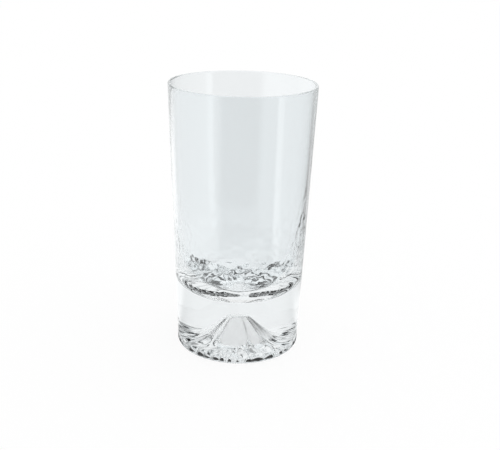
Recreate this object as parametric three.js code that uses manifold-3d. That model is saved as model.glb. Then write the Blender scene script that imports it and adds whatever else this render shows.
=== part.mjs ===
// A clear glass tumbler, made in one piece: a thin flared wall on a heavy base, with the shape of a
// mountain pressed up into the underside of the base, so that it shows through the solid glass.
// Millimetres, +Z up, with the origin on the table at the middle of the foot.

import * as THREE from "three";
import { mergeVertices } from "three/addons/utils/BufferGeometryUtils.js";
import Module from "manifold-3d";

// Outside of the glass
const HEIGHT = 135;
const RIM_DIAMETER = 72.5;
const FOOT_DIAMETER = 62.7; // where the line of the wall meets the table
const FOOT_EDGE_RADIUS = 1.2;
const FOOT_RING_WIDTH = 1.2; // narrowest flat that the glass stands on

// Inside of the glass
const RIM_THICKNESS = 1.3;
const WALL_THICKNESS = 1.8; // where the straight wall runs into the bowl
const BOWL_DEPTH = 42; // from the straight wall down to the middle of the floor
const BOWL_FULLNESS = 0.82; // 0.55 is an ellipse, 1 a square corner
const GLASS_OVER_PEAK = 8.5; // solid glass between the summit and the floor

// Mountain in the base
const PEAK_HEIGHT = 19;
const SUMMIT_DIAMETER = 7;
const SUMMIT_ROUNDING = 1.2;
const CRATER_DEPTH = 0.3;
const CONE_RADIUS = 12.4; // where the straight upper slopes would meet the skirt
const CONE_FLARE = 3.6; // how widely the slopes curve out into the skirt
const SKIRT_HEIGHT = 3.2; // clearance under the outer skirt
const SKIRT_POWER = 40; // how late the skirt turns down to the foot ring
const BROAD_RIDGES = 9;
const BROAD_RIDGE_HEIGHT = 1;
const BROAD_RIDGE_PLACE = 0.6; // under 1 moves the tallest part of a ridge up the slope
const GULLIES = 16;
const GULLY_DEPTH = 2; // at the foot of the slope
const GULLY_WIDTH = 0.65; // as a share of the spacing, about
const GULLY_TWIST = 0.05; // how far a gully winds on its way down, in radians
const GULLY_HEAD_RADIUS = 9.8; // where the gullies begin
const TOES = 36; // small roots that the skirt ends in
const TOE_CUT_DEPTH = 4.5; // of the notches between the toes, at the foot ring
const TOE_CUT_WIDTH = 0.65; // as a share of the spacing, about
const TOE_CUT_POWER = 8; // how late the notches turn deep
const RIDGE_DRIFT = 0.08; // how far ridges, gullies and toes stray from even spacing, in radians
const RIDGE_UNEVENNESS = 0.5; // how much their heights and depths differ, as a share

// Fineness of the facets
const AROUND_GLASS = 80;
const AROUND_MOUNTAIN = 208;
const BOWL_STEPS = 14;
const ROUND_EDGE_STEPS = 6;
const SLOPE_STEPS = 20;

const CLEAR_GLASS = new THREE.MeshStandardMaterial({
  name: "clear_glass",
  color: 0xe9f2f2,
  roughness: 0.02,
  metalness: 0,
  transparent: true,
  opacity: 0.3,
});

const rimRadius = RIM_DIAMETER / 2;
const footRadius = FOOT_DIAMETER / 2;
const summitRadius = SUMMIT_DIAMETER / 2;
const flare = (rimRadius - footRadius) / HEIGHT;
const flareAngle = Math.atan(flare);
const floorHeight = PEAK_HEIGHT + GLASS_OVER_PEAK;
const skirtRadius = footRadius - FOOT_EDGE_RADIUS - FOOT_RING_WIDTH;

const wasm = await Module();
wasm.setup();

// Radius of the outer wall at a height.
function wallRadius(height) {
  return footRadius + flare * height;
}

// A round edge of the profile that runs tangent to the outer wall, as points.
function roundEdge(radius, height, startAngle, endAngle) {
  const middle = wallRadius(height) - radius / Math.cos(flareAngle);
  const arc = new THREE.EllipseCurve(middle, height, radius, radius, startAngle, endAngle);
  return arc.getPoints(ROUND_EDGE_STEPS);
}

// The inner wall's lower stretch and the floor: one curve from the straight wall to the axis.
function bowlCurve() {
  const top = new THREE.Vector2(0, floorHeight + BOWL_DEPTH);
  top.x = wallRadius(top.y) - WALL_THICKNESS;
  const reach = BOWL_FULLNESS * BOWL_DEPTH;
  return new THREE.CubicBezierCurve(
    top,
    new THREE.Vector2(top.x - flare * reach, top.y - reach),
    new THREE.Vector2(BOWL_FULLNESS * top.x, floorHeight),
    new THREE.Vector2(0, floorHeight),
  );
}

// The whole glass as a solid of revolution, with a flat underside.
function blownGlass() {
  const rimRound = RIM_THICKNESS / 2;
  const profile = [
    new THREE.Vector2(0, 0),
    ...roundEdge(FOOT_EDGE_RADIUS, FOOT_EDGE_RADIUS, -Math.PI / 2, -flareAngle),
    ...roundEdge(rimRound, HEIGHT - rimRound, -flareAngle, Math.PI),
    ...bowlCurve().getPoints(BOWL_STEPS),
  ];
  return new THREE.LatheGeometry(profile, AROUND_GLASS).rotateX(Math.PI / 2);
}

// A value that is cut off below zero, with the corner rounded over about a width.
function softened(value, width) {
  return (value + Math.hypot(value, width)) / 2;
}

// The slope of the mountain in section, before ridges and gullies are cut into it.
function slopeHeight(radius, down) {
  const slope = summitRadius + softened(radius - summitRadius, SUMMIT_ROUNDING);
  const full = softened(CONE_RADIUS - summitRadius, CONE_FLARE);
  const cone = softened(CONE_RADIUS - slope, CONE_FLARE) / full;
  const height = SKIRT_HEIGHT + (PEAK_HEIGHT - SKIRT_HEIGHT) * cone;
  return height * (1 - down ** SKIRT_POWER);
}

// How deep the broad hollows between the ridges are at a place on the slope.
function hollowDepth(down, angle) {
  const swell = Math.sin(Math.PI * Math.min(down, 1) ** BROAD_RIDGE_PLACE);
  const drift = RIDGE_DRIFT * Math.sin(2 * angle + 0.7);
  const wave = (1 - Math.cos(BROAD_RIDGES * (angle + drift))) / 2;
  const unevenness = 1 + RIDGE_UNEVENNESS * Math.sin(4 * angle + 1);
  return BROAD_RIDGE_HEIGHT * swell * wave * unevenness;
}

// How deep the gullies between the mountain's roots are at a place on the slope.
function gullyDepth(start, down, angle) {
  const drift = RIDGE_DRIFT * Math.sin(3 * angle + 2.1);
  const twist = GULLY_TWIST * Math.sin(6 * down + 5 * angle);
  const wave = Math.sin((GULLIES * (angle + drift + twist)) / 2);
  const unevenness = 1 + RIDGE_UNEVENNESS * Math.sin(5 * angle + 1.3 + 3 * down);
  return GULLY_DEPTH * start * unevenness * Math.exp(-((wave / GULLY_WIDTH) ** 2));
}

// How deep the notches between the toes of the skirt are at a place on the slope.
function notchDepth(start, angle) {
  const drift = RIDGE_DRIFT * Math.sin(4 * angle + 1);
  const wave = Math.sin((TOES * (angle + drift)) / 2);
  const unevenness = 1 + RIDGE_UNEVENNESS * Math.sin(7 * angle + 0.4);
  const depth = TOE_CUT_DEPTH * start ** TOE_CUT_POWER * unevenness;
  return depth * Math.exp(-((wave / TOE_CUT_WIDTH) ** 2));
}

// Height of the mountain's surface above the table.
function mountainHeight(radius, angle) {
  const down = Math.max(radius - summitRadius, 0) / (skirtRadius - summitRadius);
  const start = Math.max(radius - GULLY_HEAD_RADIUS, 0) / (skirtRadius - GULLY_HEAD_RADIUS);
  const crater = CRATER_DEPTH * Math.max(1 - (radius / summitRadius) ** 2, 0);
  const roots = gullyDepth(start, down, angle) + notchDepth(start, angle);
  return slopeHeight(radius, down) - crater - hollowDepth(down, angle) - roots;
}

// The tool that presses the mountain into the base: its upper face is the mountain, and it reaches
// below the table.
function mountainPunch() {
  const reach = skirtRadius + FOOT_RING_WIDTH;
  const depth = -PEAK_HEIGHT;
  const profile = [new THREE.Vector2(0, depth), new THREE.Vector2(reach, depth)];
  for (let step = SLOPE_STEPS; step > 0; step--) {
    const outward = (1 - Math.cos((Math.PI * step) / SLOPE_STEPS)) / 2; // finer at both ends
    const slope = summitRadius + (reach - summitRadius) * outward;
    profile.push(new THREE.Vector2(slope, PEAK_HEIGHT));
  }
  profile.push(new THREE.Vector2(summitRadius, PEAK_HEIGHT), new THREE.Vector2(0, PEAK_HEIGHT));
  const punch = new THREE.LatheGeometry(profile, AROUND_MOUNTAIN).rotateX(Math.PI / 2);
  const place = punch.getAttribute("position");
  for (let i = 0; i < place.count; i++) {
    const x = place.getX(i);
    const y = place.getY(i);
    const height = mountainHeight(Math.hypot(x, y), Math.atan2(y, x));
    if (place.getZ(i) > 0) place.setZ(i, Math.max(height, depth / 2));
  }
  return punch;
}

// A closed geometry as a solid that can be cut.
function solidOf(geometry) {
  geometry.deleteAttribute("normal");
  geometry.deleteAttribute("uv");
  const merged = mergeVertices(geometry);
  return new wasm.Manifold(
    new wasm.Mesh({
      numProp: 3,
      vertProperties: merged.getAttribute("position").array,
      triVerts: new Uint32Array(merged.index.array),
    }),
  );
}

// A solid as a geometry.
function geometryOf(solid) {
  const { vertProperties, triVerts } = solid.getMesh();
  const geometry = new THREE.BufferGeometry();
  geometry.setAttribute("position", new THREE.BufferAttribute(vertProperties, 3));
  geometry.setIndex(new THREE.BufferAttribute(triVerts, 1));
  geometry.computeVertexNormals();
  return geometry;
}

const glass = solidOf(blownGlass()).subtract(solidOf(mountainPunch()));
const tumblerBody = new THREE.Mesh(geometryOf(glass), CLEAR_GLASS);
tumblerBody.name = "tumbler_body";

const tumbler = new THREE.Group();
tumbler.name = "tumbler";
tumbler.add(tumblerBody);

export default tumbler;
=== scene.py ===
"""Clear glass tumbler with a mountain pressed up into its solid base.

The glass is one piece. It is drawn as a profile, spun round its axis, pressed from below with the
mountain and given the faint ripples of blown glass. Metres, +Z up, with the origin on the table at the
middle of the foot and -Y towards the viewer.
"""

import logging
import math
from dataclasses import dataclass
from enum import Enum

import bpy
import numpy as np
from mathutils import Matrix, Vector


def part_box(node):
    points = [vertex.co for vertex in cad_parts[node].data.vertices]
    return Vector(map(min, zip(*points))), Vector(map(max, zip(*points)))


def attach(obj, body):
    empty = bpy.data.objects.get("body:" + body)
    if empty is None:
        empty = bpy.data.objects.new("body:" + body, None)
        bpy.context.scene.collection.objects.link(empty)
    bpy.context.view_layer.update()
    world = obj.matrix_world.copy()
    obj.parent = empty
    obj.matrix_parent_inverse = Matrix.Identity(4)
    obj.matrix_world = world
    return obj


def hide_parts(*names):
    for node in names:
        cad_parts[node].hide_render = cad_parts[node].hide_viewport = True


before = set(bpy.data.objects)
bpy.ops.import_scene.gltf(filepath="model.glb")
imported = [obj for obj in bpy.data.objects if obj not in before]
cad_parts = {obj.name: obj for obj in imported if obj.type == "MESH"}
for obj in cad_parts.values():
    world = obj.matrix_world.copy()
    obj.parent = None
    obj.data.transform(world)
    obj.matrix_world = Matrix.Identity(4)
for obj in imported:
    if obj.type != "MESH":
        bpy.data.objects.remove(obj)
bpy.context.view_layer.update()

LOG = logging.getLogger("tumbler")
MM = 0.001
NODE = "tumbler_body"
GLASS_SLOT = "clear_glass"
ROOT_BODY = "root"
MANY_REFLECTIONS = 3  # from here on, light is too mixed to show each card and mat by itself

Socket = bpy.types.NodeSocket
Points = list[Vector]


class Region(Enum):
    """Stretches of the glass that are worked on by themselves, as vertex groups."""

    BOWL = "bowl"
    WALL = "wall"


class Blend(Enum):
    """How a ramp runs between its two ends."""

    EVEN = "LINEAR"
    SOFT = "SMOOTHSTEP"


class NodeGraph:
    """A node tree that is built by a few short calls."""

    def __init__(self, tree: bpy.types.NodeTree) -> None:
        """Takes the tree to build in.

        Args:
            tree: Node tree of a material or a world.
        """
        self.tree = tree

    def add(self, kind: str, **settings: object) -> bpy.types.Node:
        """Adds a node.

        Args:
            kind: Type name of the node.
            settings: Properties of the node, by name.

        Returns:
            The new node.
        """
        node = self.tree.nodes.new(kind)
        for name, value in settings.items():
            setattr(node, name, value)
        return node

    def feed(self, socket: Socket, value: Socket | float) -> None:
        """Gives an input a number, or links it to an output.

        Args:
            socket: Input to fill.
            value: Number or output.
        """
        if isinstance(value, Socket):
            self.tree.links.new(value, socket)
        else:
            socket.default_value = value

    def math(self, operation: str, *values: Socket | float) -> Socket:
        """Adds a Math node.

        Args:
            operation: Name of the operation.
            values: Numbers or outputs, in the order of the node's inputs.

        Returns:
            The result.
        """
        node = self.add("ShaderNodeMath", operation=operation)
        for place, value in enumerate(values):
            self.feed(node.inputs[place], value)
        return node.outputs[0]

    def ramp(
        self,
        value: Socket,
        span: tuple[float, float],
        ends: tuple[float, float],
        blend: Blend = Blend.SOFT,
    ) -> Socket:
        """Adds a Map Range node that holds its ends outside its span.

        Args:
            value: What the ramp reads.
            span: Where the ramp starts and stops.
            ends: What it gives there.
            blend: How it runs in between.

        Returns:
            The result.
        """
        node = self.add("ShaderNodeMapRange", interpolation_type=blend.value)
        self.feed(node.inputs["Value"], value)
        node.inputs["From Min"].default_value, node.inputs["From Max"].default_value = span
        node.inputs["To Min"].default_value, node.inputs["To Max"].default_value = ends
        return node.outputs["Result"]

    def choose(self, test: Socket, no: Socket | float, yes: Socket | float) -> Socket:
        """Adds a Mix node that picks one of two numbers.

        Args:
            test: 0 for the first and 1 for the second.
            no: First number or output.
            yes: Second number or output.

        Returns:
            The chosen number.
        """
        node = self.add("ShaderNodeMix", data_type="FLOAT")
        self.feed(node.inputs["Factor"], test)
        self.feed(node.inputs["A"], no)
        self.feed(node.inputs["B"], yes)
        return node.outputs["Result"]

    def degrees_from(self, x: Socket, y: Socket, middle: float) -> Socket:
        """Measures how far a direction turns away from a middle one.

        Args:
            x: Part of the direction along +X.
            y: Part of the direction along +Y.
            middle: Azimuth of the middle in degrees, 0 towards the viewer and 90 towards +X.

        Returns:
            The angle between them in degrees, 0 to 180.
        """
        azimuth = self.math("ARCTAN2", x, self.math("MULTIPLY", y, -1.0))
        turned = self.math("SUBTRACT", self.math("DEGREES", azimuth), middle)
        return self.math("ABSOLUTE", self.math("WRAP", turned, 180.0, -180.0))

    def length(self, x: Socket, y: Socket) -> Socket:
        """Gives the length of the line from the axis to a place."""
        squares = self.math("ADD", self.math("MULTIPLY", x, x), self.math("MULTIPLY", y, y))
        return self.math("SQRT", squares)

    def reflected(self, times: int) -> Socket:
        """Gives 1 for a ray that was reflected at least so many times, and 0 for others."""
        rays = self.add("ShaderNodeLightPath")
        return self.math("GREATER_THAN", rays.outputs["Glossy Depth"], times - 0.5)

    def scattered(self) -> Socket:
        """Gives 1 for a ray that has left a dull face on its way, and 0 for others."""
        rays = self.add("ShaderNodeLightPath")
        return self.math("GREATER_THAN", rays.outputs["Diffuse Depth"], 0.5)

    def outside(self) -> Socket:
        """Gives 1 for a ray that hasn't been inside the glass, and 0 for others."""
        rays = self.add("ShaderNodeLightPath")
        return self.math("LESS_THAN", rays.outputs["Transmission Depth"], 0.5)


@dataclass(frozen=True)
class ClearGlass:
    """Polished clear glass with a faint cool tint and the slight waviness of a blown wall."""

    colour: tuple[float, float, float] = (0.915, 0.94, 0.95)
    haze_colour: tuple[float, float, float] = (1.0, 1.0, 1.0)
    depth_colour: tuple[float, float, float] = (0.86, 0.89, 0.89)
    depth_density: float = 2.0
    ior: float = 1.52
    wave_length: float = 9 * MM
    wave_height: float = 0.0015 * MM
    wear_span: tuple[float, float] = (0.55, 0.8)
    wear_roughness: tuple[float, float] = (0.0, 0.004)
    haze_roughness: float = 0.25
    haze_clearness: float = 0.92
    haze_start: tuple[float, float] = (2.8 * MM, 6 * MM)
    haze_top: float = 21.5 * MM
    haze_radius: float = 29 * MM

    def waves(self, graph: NodeGraph, place: Socket) -> Socket:
        """Adds the long, faint waves of the surface.

        Args:
            graph: Nodes of the material.
            place: Place on the object.

        Returns:
            Height of the waves, 0 to 1.
        """
        noise = graph.add("ShaderNodeTexNoise")
        graph.feed(noise.inputs["Vector"], place)
        noise.inputs["Scale"].default_value = 1.0 / self.wave_length
        noise.inputs["Detail"].default_value = 1.0
        return noise.outputs["Fac"]

    def waved_normal(self, graph: NodeGraph, waves: Socket) -> Socket:
        """Turns the waves into a bump.

        Args:
            graph: Nodes of the material.
            waves: Height of the waves.

        Returns:
            Normal of the waved surface.
        """
        bump = graph.add("ShaderNodeBump")
        bump.inputs["Distance"].default_value = self.wave_height
        graph.feed(bump.inputs["Height"], waves)
        return bump.outputs["Normal"]

    def haze(self, graph: NodeGraph, place: Socket) -> Socket:
        """Adds the slight haze that the mould leaves on the steep faces of the mountain.

        Args:
            graph: Nodes of the material.
            place: Place on the object.

        Returns:
            Share of the haze, 1 on the faces and 0 elsewhere.
        """
        parts = graph.add("ShaderNodeSeparateXYZ")
        graph.feed(parts.inputs[0], place)
        x, y, z = parts.outputs
        above = graph.ramp(z, self.haze_start, (0.0, 1.0))
        below = graph.math("LESS_THAN", z, self.haze_top)
        within = graph.math("LESS_THAN", graph.length(x, y), self.haze_radius)
        return graph.math("MULTIPLY", above, graph.math("MULTIPLY", below, within))

    def roughness(self, graph: NodeGraph, waves: Socket, hazy: Socket) -> Socket:
        """Joins the faint wear of the polish to the roughness of the haze.

        Args:
            graph: Nodes of the material.
            waves: Height of the waves, where the wear sits.
            hazy: Share of the haze.

        Returns:
            Roughness of the surface.
        """
        worn = graph.ramp(waves, self.wear_span, self.wear_roughness)
        rough = graph.math("MULTIPLY", graph.math("MULTIPLY", hazy, hazy), self.haze_roughness)
        return graph.math("MAXIMUM", worn, rough)

    def tint(self, graph: NodeGraph, hazy: Socket) -> Socket:
        """Fades the cool tint of the glass into the colour of the haze.

        Args:
            graph: Nodes of the material.
            hazy: Share of the haze.

        Returns:
            Colour of the surface.
        """
        mix = graph.add("ShaderNodeMix", data_type="RGBA")
        graph.feed(mix.inputs["Factor"], hazy)
        mix.inputs["A"].default_value = (*self.colour, 1.0)
        mix.inputs["B"].default_value = (*self.haze_colour, 1.0)
        return mix.outputs["Result"]

    def depth(self, graph: NodeGraph) -> Socket:
        """Makes thick glass a little darker and cooler than thin glass.

        Args:
            graph: Nodes of the material.

        Returns:
            What fills the glass.
        """
        absorption = graph.add("ShaderNodeVolumeAbsorption")
        absorption.inputs["Color"].default_value = (*self.depth_colour, 1.0)
        absorption.inputs["Density"].default_value = self.depth_density
        return absorption.outputs["Volume"]

    def material(self) -> bpy.types.Material:
        """Builds the finish from nodes.

        Returns:
            The material.
        """
        material = bpy.data.materials.new(GLASS_SLOT)
        material.use_nodes = True
        graph = NodeGraph(material.node_tree)
        shader = material.node_tree.nodes["Principled BSDF"]
        output = material.node_tree.nodes["Material Output"]
        place = graph.add("ShaderNodeTexCoord").outputs["Object"]
        waves = self.waves(graph, place)
        hazy = self.haze(graph, place)
        clearness = graph.ramp(hazy, (0.0, 1.0), (1.0, self.haze_clearness), Blend.EVEN)
        shader.inputs["IOR"].default_value = self.ior
        graph.feed(shader.inputs["Normal"], self.waved_normal(graph, waves))
        graph.feed(shader.inputs["Roughness"], self.roughness(graph, waves, hazy))
        graph.feed(shader.inputs["Transmission Weight"], clearness)
        graph.feed(shader.inputs["Base Color"], self.tint(graph, hazy))
        graph.feed(output.inputs["Volume"], self.depth(graph))
        return material


@dataclass(frozen=True)
class Wander:
    """A slow wave round the axis, by which ridges and gullies stray from an even pattern."""

    turns: int
    phase: float = 0.0
    down_slope: float = 0.0

    def at(self, angle: np.ndarray, down: np.ndarray | float = 0.0) -> np.ndarray:
        """Gives the wave, -1 to 1, at angles round the axis and shares of the way down the slope."""
        return np.sin(self.turns * angle + self.phase + self.down_slope * down)


@dataclass(frozen=True)
class Mountain:
    """Mountain that is pressed up into the underside: a flat-topped cone with ridges and roots."""

    skirt_radius: float
    peak_height: float = 19 * MM
    summit_radius: float = 3.5 * MM
    summit_rounding: float = 1.2 * MM
    crater_depth: float = 0.3 * MM
    cone_radius: float = 12.4 * MM
    cone_flare: float = 3.6 * MM
    skirt_height: float = 3.2 * MM
    skirt_power: float = 40
    broad_ridges: int = 9
    broad_ridge_height: float = 1.0 * MM
    broad_ridge_place: float = 0.6
    gullies: int = 16
    gully_depth: float = 2.0 * MM
    gully_width: float = 0.65
    gully_twist: float = 0.05
    gully_head_radius: float = 9.8 * MM
    toes: int = 36
    toe_cut_depth: float = 4.5 * MM
    toe_cut_width: float = 0.65
    toe_cut_power: float = 8
    drift: float = 0.08
    unevenness: float = 0.5
    ridge_drift: Wander = Wander(turns=2, phase=0.7)
    ridge_unevenness: Wander = Wander(turns=4, phase=1.0)
    gully_drift: Wander = Wander(turns=3, phase=2.1)
    gully_winding: Wander = Wander(turns=5, down_slope=6.0)
    gully_unevenness: Wander = Wander(turns=5, phase=1.3, down_slope=3.0)
    toe_drift: Wander = Wander(turns=4, phase=1.0)
    toe_unevenness: Wander = Wander(turns=7, phase=0.4)

    @staticmethod
    def softened(value: np.ndarray | float, width: float) -> np.ndarray | float:
        """Cuts a value off below zero, with the corner rounded over about a width."""
        return (value + np.hypot(value, width)) / 2

    def slope(self, radius: np.ndarray, down: np.ndarray) -> np.ndarray:
        """Gives the slope in section, before ridges and gullies are cut into it.

        Args:
            radius: Distances from the axis.
            down: The same as shares of the way from the summit's edge to the skirt's.

        Returns:
            Heights above the table.
        """
        out = self.summit_radius + self.softened(radius - self.summit_radius, self.summit_rounding)
        full = self.softened(self.cone_radius - self.summit_radius, self.cone_flare)
        cone = self.softened(self.cone_radius - out, self.cone_flare) / full
        height = self.skirt_height + (self.peak_height - self.skirt_height) * cone
        return height * (1 - down**self.skirt_power)

    def hollows(self, down: np.ndarray, angle: np.ndarray) -> np.ndarray:
        """Gives the depths of the broad hollows between the ridges.

        Args:
            down: Shares of the way down the slope.
            angle: Angles round the axis.

        Returns:
            Depths below the slope.
        """
        swell = np.sin(np.pi * np.minimum(down, 1) ** self.broad_ridge_place)
        turned = angle + self.drift * self.ridge_drift.at(angle)
        wave = (1 - np.cos(self.broad_ridges * turned)) / 2
        uneven = 1 + self.unevenness * self.ridge_unevenness.at(angle)
        return self.broad_ridge_height * swell * wave * uneven

    def gully_cuts(self, start: np.ndarray, down: np.ndarray, angle: np.ndarray) -> np.ndarray:
        """Gives the depths of the gullies between the roots.

        Args:
            start: Shares of the way from the heads of the gullies to the skirt's edge.
            down: Shares of the way down the slope.
            angle: Angles round the axis.

        Returns:
            Depths below the slope.
        """
        turned = angle + self.drift * self.gully_drift.at(angle)
        turned = turned + self.gully_twist * self.gully_winding.at(angle, down)
        wave = np.sin(self.gullies * turned / 2)
        uneven = 1 + self.unevenness * self.gully_unevenness.at(angle, down)
        return self.gully_depth * start * uneven * np.exp(-((wave / self.gully_width) ** 2))

    def toe_cuts(self, start: np.ndarray, angle: np.ndarray) -> np.ndarray:
        """Gives the depths of the notches between the toes that the skirt ends in.

        Args:
            start: Shares of the way from the heads of the gullies to the skirt's edge.
            angle: Angles round the axis.

        Returns:
            Depths below the slope.
        """
        turned = angle + self.drift * self.toe_drift.at(angle)
        wave = np.sin(self.toes * turned / 2)
        uneven = 1 + self.unevenness * self.toe_unevenness.at(angle)
        depth = self.toe_cut_depth * start**self.toe_cut_power * uneven
        return depth * np.exp(-((wave / self.toe_cut_width) ** 2))

    def height(self, radius: np.ndarray, angle: np.ndarray) -> np.ndarray:
        """Gives the mountain's surface, which is never below the table.

        Args:
            radius: Distances from the axis.
            angle: Angles round the axis.

        Returns:
            Heights above the table.
        """
        reach = self.skirt_radius - self.summit_radius
        down = np.maximum(radius - self.summit_radius, 0) / reach
        run = self.skirt_radius - self.gully_head_radius
        start = np.maximum(radius - self.gully_head_radius, 0) / run
        crater = self.crater_depth * np.maximum(1 - (radius / self.summit_radius) ** 2, 0)
        roots = self.gully_cuts(start, down, angle) + self.toe_cuts(start, angle)
        cuts = crater + self.hollows(down, angle) + roots
        return np.maximum(self.slope(radius, down) - cuts, 0)


@dataclass(frozen=True)
class Ripple:
    """Waviness of the blown inner surface: how long the waves are and how far they swing."""

    name: str
    length: float
    depth: float
    region: Region


@dataclass
class Tumbler:
    """The whole glass: foot, solid base with its mountain, bowl, wall and rim."""

    height: float
    rim_diameter: float
    foot_diameter: float = 62.7 * MM
    foot_edge_radius: float = 1.2 * MM
    foot_ring_width: float = 1.2 * MM
    rim_thickness: float = 1.3 * MM
    wall_thickness: float = 1.8 * MM
    bowl_depth: float = 42 * MM
    bowl_fullness: float = 0.82
    glass_over_peak: float = 8.5 * MM
    ripples: tuple[Ripple, ...] = (
        Ripple("swell", length=20 * MM, depth=0.50 * MM, region=Region.BOWL),
        Ripple("ripple", length=6 * MM, depth=0.20 * MM, region=Region.BOWL),
        Ripple("chill", length=2.5 * MM, depth=0.50 * MM, region=Region.WALL),
    )
    ripple_top: tuple[float, float] = (50 * MM, 92 * MM)
    wall_start: tuple[float, float] = (40 * MM, 55 * MM)
    around: int = 320
    underside_steps: int = 130
    outer_wall_steps: int = 4
    inner_wall_steps: int = 50
    edge_steps: int = 12
    bowl_steps: int = 80
    weld_distance: float = 0.0005 * MM
    flat_limit: float = 0.001 * MM

    @classmethod
    def from_frame(cls) -> "Tumbler":
        """Takes the height and the rim from the CAD solid's box."""
        lowest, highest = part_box(NODE)
        return cls(height=highest.z - lowest.z, rim_diameter=highest.x - lowest.x)

    @property
    def flare(self) -> float:
        """Growth of the wall's radius for each metre of height."""
        return (self.rim_diameter - self.foot_diameter) / 2 / self.height

    @property
    def flare_angle(self) -> float:
        """Lean of the wall from upright, in radians."""
        return math.atan(self.flare)

    @property
    def mountain(self) -> Mountain:
        """Mountain that leaves the foot ring to stand on."""
        skirt = self.foot_diameter / 2 - self.foot_edge_radius - self.foot_ring_width
        return Mountain(skirt_radius=skirt)

    @property
    def floor_height(self) -> float:
        """Height of the middle of the bowl's floor."""
        return self.mountain.peak_height + self.glass_over_peak

    def wall_radius(self, height: float) -> float:
        """Radius of the outer wall at a height."""
        return self.foot_diameter / 2 + self.flare * height

    def round_edge(self, radius: float, height: float, start: float, stop: float) -> Points:
        """Draws a round edge that runs into the outer wall.

        Args:
            radius: Radius of the edge.
            height: Height of its centre.
            start: Angle that it starts at, in radians from +X.
            stop: Angle that it stops at.

        Returns:
            Points of the edge.
        """
        middle = self.wall_radius(height) - radius / math.cos(self.flare_angle)
        angles = np.linspace(start, stop, self.edge_steps + 1)
        points = []
        for angle in angles:
            out = middle + radius * math.cos(angle)
            points.append(Vector((out, 0, height + radius * math.sin(angle))))
        return points

    @staticmethod
    def between(start: Vector, stop: Vector, steps: int) -> Points:
        """Divides the straight line between two points, without its ends."""
        return [start.lerp(stop, step / steps) for step in range(1, steps)]

    def bowl(self) -> Points:
        """Draws the lower inner wall and the floor as one curve down to the axis.

        Returns:
            Points of the curve, from the straight wall to the axis.
        """
        top_height = self.floor_height + self.bowl_depth
        top = Vector((self.wall_radius(top_height) - self.wall_thickness, 0, top_height))
        reach = self.bowl_fullness * self.bowl_depth
        upper = Vector((top.x - self.flare * reach, 0, top.z - reach))
        lower = Vector((self.bowl_fullness * top.x, 0, self.floor_height))
        bottom = Vector((0, 0, self.floor_height))
        points = []
        for t in np.linspace(0, 1, self.bowl_steps + 1):
            s = 1 - t
            points.append(top * s**3 + upper * 3 * s * s * t + lower * 3 * s * t * t + bottom * t**3)
        return points

    def profile(self) -> tuple[Points, int]:
        """Draws half the glass in section, from the axis below to the axis above.

        Returns:
            Points of the section, and how many of them lie before the inner wall.
        """
        rim_round = self.rim_thickness / 2
        edge = self.foot_edge_radius
        foot = self.round_edge(edge, edge, -math.pi / 2, -self.flare_angle)
        rim = self.round_edge(rim_round, self.height - rim_round, -self.flare_angle, math.pi)
        bowl = self.bowl()
        middle = Vector((0, 0, 0))
        outside = [
            middle,
            *self.between(middle, foot[0], self.underside_steps),
            *foot,
            *self.between(foot[-1], rim[0], self.outer_wall_steps),
            *rim,
        ]
        inside = [*self.between(rim[-1], bowl[0], self.inner_wall_steps), *bowl]
        return outside + inside, len(outside)

    def draw(self, points: Points) -> bpy.types.Object:
        """Draws a line of points by extruding one vertex from each to the next.

        Args:
            points: Points of the line, the first at the origin.

        Returns:
            The object that holds the line.
        """
        bpy.ops.object.select_all(action="DESELECT")
        bpy.ops.mesh.primitive_plane_add(size=self.foot_diameter, location=points[0])
        body = bpy.context.object
        body.name = "glass_tumbler"
        bpy.ops.object.mode_set(mode="EDIT")
        bpy.ops.mesh.select_all(action="SELECT")
        bpy.ops.mesh.merge(type="CENTER")
        for here, there in zip(points, points[1:]):
            bpy.ops.mesh.extrude_vertices_move(TRANSFORM_OT_translate={"value": there - here})
        bpy.ops.object.mode_set(mode="OBJECT")
        return body

    @staticmethod
    def eased(value: float, span: tuple[float, float]) -> float:
        """Gives a share that grows softly from 0 to 1 over a span."""
        share = min(max((value - span[0]) / (span[1] - span[0]), 0), 1)
        return share * share * (3 - 2 * share)

    def mark_regions(self, body: bpy.types.Object, inner_start: int) -> None:
        """Marks how strongly each point of the section takes the ripples.

        Args:
            body: The drawn section.
            inner_start: Index of the first vertex of the inner wall.
        """
        bowl = body.vertex_groups.new(name=Region.BOWL.value)
        wall = body.vertex_groups.new(name=Region.WALL.value)
        for vertex in body.data.vertices[inner_start:]:
            share = 1 - self.eased(vertex.co.z, self.ripple_top)
            bowl.add([vertex.index], share, "REPLACE")
            wall.add([vertex.index], share * self.eased(vertex.co.z, self.wall_start), "REPLACE")

    def spin(self) -> None:
        """Spins the section round the axis and closes the seam and the poles."""
        bpy.ops.object.mode_set(mode="EDIT")
        bpy.ops.mesh.select_all(action="SELECT")
        bpy.ops.mesh.spin(
            steps=self.around,
            angle=2 * math.pi,
            center=(0, 0, 0),
            axis=(0, 0, 1),
            use_auto_merge=True,
        )
        bpy.ops.mesh.select_all(action="SELECT")
        bpy.ops.mesh.remove_doubles(threshold=self.weld_distance)
        bpy.ops.mesh.normals_make_consistent(inside=False)
        bpy.ops.object.mode_set(mode="OBJECT")

    def press_mountain(self, body: bpy.types.Object) -> None:
        """Presses the flat underside up into the shape of the mountain.

        Args:
            body: The spun glass.
        """
        vertices = body.data.vertices
        place = np.empty(len(vertices) * 3)
        vertices.foreach_get("co", place)
        place = place.reshape(-1, 3)
        radius = np.hypot(place[:, 0], place[:, 1])
        angle = np.arctan2(place[:, 1], place[:, 0])
        flat_radius = self.foot_diameter / 2 - self.foot_edge_radius
        under = (place[:, 2] < self.flat_limit) & (radius < flat_radius)
        place[under, 2] = self.mountain.height(radius[under], angle[under])
        vertices.foreach_set("co", place.ravel())
        body.data.update()

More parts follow.
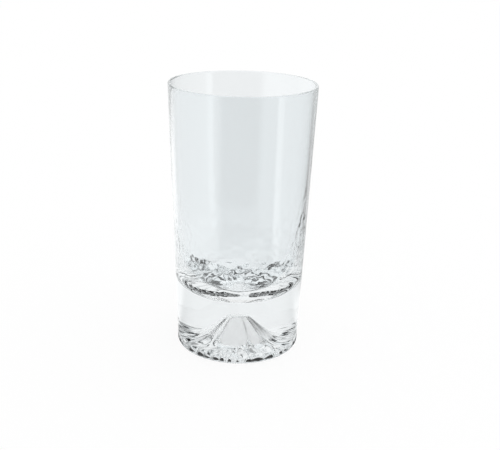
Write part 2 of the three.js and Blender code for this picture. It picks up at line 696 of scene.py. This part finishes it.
    def ripple_bowl(self, body: bpy.types.Object) -> None:
        """Gives the inner surface its waves.

        Args:
            body: The pressed glass, which is the active object.
        """
        for ripple in self.ripples:
            clouds = bpy.data.textures.new(ripple.name, type="CLOUDS")
            clouds.noise_scale = ripple.length
            clouds.noise_depth = 0
            clouds.noise_basis = "ORIGINAL_PERLIN"
            displace = body.modifiers.new(ripple.name, "DISPLACE")
            displace.texture = clouds
            displace.texture_coords = "LOCAL"
            displace.strength = ripple.depth
            displace.vertex_group = ripple.region.value
            bpy.ops.object.modifier_apply(modifier=ripple.name)

    def build(self) -> bpy.types.Object:
        """Models the glass.

        Returns:
            The finished mesh object.
        """
        points, inner_start = self.profile()
        body = self.draw(points)
        self.mark_regions(body, inner_start)
        self.spin()
        self.press_mountain(body)
        self.ripple_bowl(body)
        bpy.ops.object.shade_smooth()
        return body

    def dress(self, body: bpy.types.Object, finish: ClearGlass) -> None:
        """Gives the glass its finish and sets it in the frame in place of its CAD solid.

        Args:
            body: The modelled glass.
            finish: The finish that it takes.
        """
        body.data.materials.append(finish.material())
        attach(body, ROOT_BODY)
        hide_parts(NODE)


@dataclass(frozen=True)
class DarkCard:
    """Dark card round the table, which shows only in reflections and gives the glass its outlines.

    Angles are in degrees, with azimuth 0 towards the viewer and 90 towards +X.
    """

    azimuth: float
    half_width: float
    softness: float
    top: float
    brightness: float
    top_softness: float = 5.0

    def shade(self, graph: NodeGraph, x: Socket, y: Socket, elevation: Socket) -> Socket:
        """Adds the card to the world.

        Args:
            graph: Nodes of the world.
            x: Part of the direction along +X.
            y: Part of the direction along +Y.
            elevation: Height of the direction above the table, in degrees.

        Returns:
            What the brightness is multiplied by.
        """
        edge = (self.half_width - self.softness, self.half_width + self.softness)
        beside = graph.ramp(graph.degrees_from(x, y, self.azimuth), edge, (self.brightness, 1.0))
        top_edge = (self.top - self.top_softness, self.top + self.top_softness)
        above = graph.ramp(elevation, top_edge, (0.0, 1.0))
        return graph.math("MAXIMUM", beside, above)


@dataclass(frozen=True)
class PaintedShade:
    """Painted shade on the table: a dark patch which shows only in reflections.

    Lengths are from the axis of the glass. Unless it is given, the far edge lies beyond the table's.
    """

    azimuth: float
    half_width: float
    softness: float
    near: tuple[float, float]
    brightness: float
    far: tuple[float, float] = (9.0, 10.0)

    def shade(self, graph: NodeGraph, x: Socket, y: Socket, radius: Socket) -> Socket:
        """Adds the painted shade to the floor.

        Args:
            graph: Nodes of the floor.
            x: Place on the floor along +X.
            y: Place on the floor along +Y.
            radius: Distance from the axis of the glass.

        Returns:
            What the brightness is multiplied by.
        """
        edge = (self.half_width - self.softness, self.half_width + self.softness)
        depth = 1.0 - self.brightness
        cut = graph.ramp(graph.degrees_from(x, y, self.azimuth), edge, (depth, 0.0))
        cut = graph.math("MULTIPLY", cut, graph.ramp(radius, self.near, (0.0, 1.0)))
        cut = graph.math("MULTIPLY", cut, graph.ramp(radius, self.far, (1.0, 0.0)))
        return graph.math("SUBTRACT", 1.0, cut)


@dataclass(frozen=True)
class Studio:
    """Soft white surroundings, with dark cards that show only in reflections.

    Light that is passed on by many reflections inside the glass sees fewer cards. Dull faces are lit
    more strongly from the left than from the right.
    """

    white: float = 1.0
    key_light: tuple[float, float] = (1.9, 0.1)
    key_span: tuple[float, float] = (-0.85, 0.85)
    reflected_white: float = 1.05
    cards: tuple[DarkCard, ...] = (
        DarkCard(azimuth=13, half_width=33, softness=10, top=45, brightness=0.1),
        DarkCard(azimuth=88, half_width=36, softness=4, top=60, brightness=0.0),
        DarkCard(azimuth=135, half_width=20, softness=8, top=35, brightness=0.4),
        DarkCard(azimuth=278, half_width=32, softness=4, top=60, brightness=0.0),
    )
    far_cards: tuple[DarkCard, ...] = (
        DarkCard(azimuth=88, half_width=40, softness=4, top=60, brightness=0.0),
    )

    @staticmethod
    def shaded(
        graph: NodeGraph, direction: bpy.types.Node, white: float, cards: tuple[DarkCard, ...]
    ) -> Socket:
        """Sets dark cards in front of the white surroundings.

        Args:
            graph: Nodes of the world.
            direction: Node that splits a direction into its parts.
            white: Brightness beside the cards.
            cards: Cards to set up.

        Returns:
            Brightness in each direction.
        """
        x, y, z = direction.outputs
        elevation = graph.math("DEGREES", graph.math("ARCSINE", z))
        brightness = white
        for card in cards:
            brightness = graph.math("MULTIPLY", brightness, card.shade(graph, x, y, elevation))
        return brightness

    def build(self) -> None:
        """Makes the world and sets it on the scene."""
        world = bpy.data.worlds.new("studio")
        bpy.context.scene.world = world
        world.use_nodes = True
        graph = NodeGraph(world.node_tree)
        background = world.node_tree.nodes["Background"]
        background.inputs["Color"].default_value = (1.0, 1.0, 1.0, 1.0)
        direction = graph.add("ShaderNodeSeparateXYZ")
        graph.feed(direction.inputs[0], graph.add("ShaderNodeTexCoord").outputs["Generated"])
        mirrored = self.shaded(graph, direction, self.reflected_white, self.cards)
        passed_on = self.shaded(graph, direction, self.white, self.far_cards)
        mirrored = graph.choose(graph.reflected(MANY_REFLECTIONS), mirrored, passed_on)
        strength = graph.choose(graph.reflected(1), self.white, mirrored)
        key = graph.ramp(direction.outputs["X"], self.key_span, self.key_light, Blend.EVEN)
        key = graph.choose(graph.outside(), key, self.white)
        graph.feed(background.inputs["Strength"], graph.choose(graph.scattered(), strength, key))


@dataclass(frozen=True)
class Table:
    """Plain white table that runs on into the background, with painted shadow where the glass covers
    it.

    Under the foot, painted light and shade patches stand for the light that the glass focuses.
    """

    size: float = 6.0
    drop: float = 0.02 * MM
    white: float = 1.0
    reflected_white: float = 1.08
    shadow_share: float = 0.12
    key_white: float = 1.0
    # Painted light and painted shadow under the foot: bright in the middle, dark towards the foot
    # ring.
    under_painted_light: float = 1.0
    under_painted_shadow: float = 0.0
    under_painted_shadow_fade: tuple[float, float] = (16 * MM, 18 * MM)
    # Painted light and shade patches under the foot, standing for light that the glass focuses.
    patch_fade: tuple[float, float] = (20 * MM, 26 * MM)
    patch_start: float = 1 * MM
    patch_length: float = 30 * MM
    patches_around: float = 3.0
    patch_limits: tuple[float, float] = (0.3, 0.6)
    patch_softness: float = 0.03
    foot_line: tuple[float, float] = (30.2 * MM, 31.2 * MM)
    # Painted contact shadow: a dark ring round the foot, seen only in reflections.
    painted_contact_shadow: tuple[float, float] = (32 * MM, 34 * MM)
    # Painted shade: dark patches on the table that darken its reflections in the glass.
    painted_shades: tuple[PaintedShade, ...] = (
        PaintedShade(azimuth=20, half_width=34, softness=3, near=(100 * MM, 160 * MM), brightness=0.0),
        PaintedShade(azimuth=-10, half_width=24, softness=10, near=(100 * MM, 160 * MM), brightness=0.0),
        PaintedShade(azimuth=105, half_width=40, softness=4, near=(60 * MM, 100 * MM), brightness=0.4),
        PaintedShade(azimuth=162, half_width=16, softness=4, near=(50 * MM, 80 * MM), brightness=0.5),
    )
    # Painted shade: a dark ring round the glass, seen only in reflections off its outer face.
    glare_painted_shade: PaintedShade = PaintedShade(
        azimuth=0,
        half_width=100,
        softness=10,
        near=(33 * MM, 36 * MM),
        brightness=0.0,
        far=(90 * MM, 120 * MM),
    )
    # Painted shade on the right of the table, for light that is reflected many times inside the glass.
    far_painted_shade: PaintedShade = PaintedShade(
        azimuth=105, half_width=40, softness=4, near=(60 * MM, 100 * MM), brightness=0.0
    )

    def painted_caustics(self, graph: NodeGraph, x: Socket, y: Socket, radius: Socket) -> Socket:
        """Breaks the painted shadow under the foot into painted patches that grow denser towards the
        foot ring.

        Args:
            graph: Nodes of the floor.
            x: Place on the floor along +X.
            y: Place on the floor along +Y.
            radius: Distance from the axis of the glass.

        Returns:
            Brightness under the foot.
        """
        reach = graph.math("MAXIMUM", radius, self.patch_start)
        place = graph.add("ShaderNodeCombineXYZ")
        for slot, part in enumerate((x, y)):
            turned = graph.math("DIVIDE", part, reach)
            graph.feed(place.inputs[slot], graph.math("MULTIPLY", turned, self.patches_around))
        graph.feed(place.inputs[2], graph.math("DIVIDE", radius, self.patch_length))
        noise = graph.add("ShaderNodeTexNoise")
        noise.inputs["Scale"].default_value = 1.0
        noise.inputs["Detail"].default_value = 1.0
        graph.feed(noise.inputs["Vector"], place.outputs["Vector"])
        limit = graph.ramp(radius, self.patch_fade, self.patch_limits)
        over = graph.math("SUBTRACT", noise.outputs["Fac"], limit)
        edge = (-self.patch_softness, self.patch_softness)
        return graph.ramp(over, edge, (self.under_painted_shadow, self.under_painted_light))

    def covered(
        self, graph: NodeGraph, radius: Socket, under: Socket, uncovered: Socket | float
    ) -> Socket:
        """Joins the part of the table under the foot to the part outside.

        Args:
            graph: Nodes of the floor.
            radius: Distance from the axis of the glass.
            under: Brightness under the foot.
            uncovered: Brightness outside the foot.

        Returns:
            Brightness everywhere.
        """
        return graph.choose(graph.ramp(radius, self.foot_line, (0.0, 1.0)), under, uncovered)

    def brightness(self, graph: NodeGraph) -> Socket:
        """Lays out how bright the table is for rays that come through the glass.

        Args:
            graph: Nodes of the floor.

        Returns:
            Brightness, with the painted shade and light for rays that were reflected on their way.
        """
        place = graph.add("ShaderNodeSeparateXYZ")
        graph.feed(place.inputs[0], graph.add("ShaderNodeTexCoord").outputs["Object"])
        x, y = place.outputs["X"], place.outputs["Y"]
        radius = graph.length(x, y)
        mirrored = self.reflected_white
        # Painted shade from the dark patches, seen in reflections.
        for mat in self.painted_shades:
            mirrored = graph.math("MULTIPLY", mirrored, mat.shade(graph, x, y, radius))
        # Painted shade near the glass, for reflections off the outer face.
        glare = graph.choose(graph.outside(), 1.0, self.glare_painted_shade.shade(graph, x, y, radius))
        # Painted contact shadow round the foot.
        contact = graph.ramp(radius, self.painted_contact_shadow, (0.0, 1.0))
        mirrored = graph.math("MULTIPLY", mirrored, graph.math("MULTIPLY", glare, contact))
        # Painted shadow under the foot, for rays that pass straight through the glass.
        shade = graph.ramp(radius, self.under_painted_shadow_fade, (self.under_painted_light, self.under_painted_shadow))
        seen = self.covered(graph, radius, shade, self.white)
        # Painted light and shade patches under the foot, seen in reflections.
        mirrored = self.covered(graph, radius, self.painted_caustics(graph, x, y, radius), mirrored)
        # Painted shade for rays that were reflected many times.
        passed_on = graph.math("MULTIPLY", self.white, self.far_painted_shade.shade(graph, x, y, radius))
        mirrored = graph.choose(graph.reflected(MANY_REFLECTIONS), mirrored, passed_on)
        strength = graph.choose(graph.reflected(1), seen, mirrored)
        return graph.choose(graph.scattered(), strength, self.key_white)

    def material(self) -> bpy.types.Material:
        """Builds the floor's finish: white paper to the eye, and painted shade and light through the
        glass.

        Returns:
            The material.
        """
        material = bpy.data.materials.new("white_table")
        material.use_nodes = True
        graph = NodeGraph(material.node_tree)
        material.node_tree.nodes.remove(material.node_tree.nodes["Principled BSDF"])
        paper = graph.add("ShaderNodeBsdfDiffuse")
        paper.inputs["Color"].default_value = (self.white, self.white, self.white, 1.0)
        glow = graph.add("ShaderNodeEmission")
        rays = graph.add("ShaderNodeLightPath")
        straight = rays.outputs["Is Camera Ray"]
        graph.feed(glow.inputs["Strength"], graph.choose(straight, self.brightness(graph), self.white))
        through_glass = graph.math(
            "MAXIMUM", rays.outputs["Is Glossy Ray"], rays.outputs["Is Transmission Ray"]
        )
        share = graph.math("MULTIPLY", straight, 1.0 - self.shadow_share)
        mix = graph.add("ShaderNodeMixShader")
        graph.feed(mix.inputs["Fac"], graph.math("MAXIMUM", through_glass, share))
        graph.feed(mix.inputs[1], paper.outputs["BSDF"])
        graph.feed(mix.inputs[2], glow.outputs["Emission"])
        output = material.node_tree.nodes["Material Output"]
        graph.feed(output.inputs["Surface"], mix.outputs["Shader"])
        return material

    def build(self) -> bpy.types.Object:
        """Lays the floor just under the foot.

        Returns:
            The floor.
        """
        bpy.ops.object.select_all(action="DESELECT")
        bpy.ops.mesh.primitive_plane_add(size=self.size, location=(0, 0, -self.drop))
        floor = bpy.context.object
        floor.name = "table"
        floor.data.materials.append(self.material())
        return floor


@dataclass(frozen=True)
class PortraitCamera:
    """Camera at the photograph's viewing angle. Angles are in degrees."""

    place: tuple[float, float, float] = (0.0, -0.397, 0.2041)
    turn: float = -0.738
    look_down: float = 19.62
    roll: float = 1.586
    picture_width: float = 500
    focal_pixels: float = 829.2
    sensor_width: float = 36.0
    nearest: float = 0.01

    def build(self) -> bpy.types.Object:
        """Sets up the camera and makes it the scene's.

        Returns:
            The camera.
        """
        lens = bpy.data.cameras.new("portrait")
        lens.sensor_width = self.sensor_width
        lens.lens = self.focal_pixels / self.picture_width * self.sensor_width
        lens.clip_start = self.nearest
        camera = bpy.data.objects.new("portrait", lens)
        bpy.context.scene.collection.objects.link(camera)
        aim = Matrix.Rotation(math.radians(self.turn), 4, "Z")
        aim = aim @ Matrix.Rotation(math.radians(90 - self.look_down), 4, "X")
        aim = aim @ Matrix.Rotation(math.radians(self.roll), 4, "Z")
        camera.matrix_world = Matrix.Translation(self.place) @ aim
        bpy.context.scene.camera = camera
        return camera


def set_picture(light_bounces: int = 128) -> None:
    """Sets the plain view transform and lets light bounce often enough inside thick glass.

    Args:
        light_bounces: How often a ray may pass or be reflected.
    """
    scene = bpy.context.scene
    scene.view_settings.view_transform = "Standard"
    scene.cycles.max_bounces = light_bounces
    scene.cycles.transmission_bounces = light_bounces
    scene.cycles.glossy_bounces = light_bounces
    scene.cycles.diffuse_bounces = light_bounces


def main() -> None:
    """Builds the glass, its surroundings and the camera, and reports each piece."""
    logging.basicConfig(level=logging.INFO, format="%(name)s: %(message)s")
    tumbler = Tumbler.from_frame()
    body = tumbler.build()
    tumbler.dress(body, ClearGlass())
    LOG.info("%s: %d vertices, %d faces", body.name, len(body.data.vertices), len(body.data.polygons))
    floor = Table().build()
    LOG.info("%s: floor, not part of the object", floor.name)
    Studio().build()
    camera = PortraitCamera().build()
    LOG.info("%s: camera", camera.name)
    set_picture()


if __name__ == "__main__":
    main()
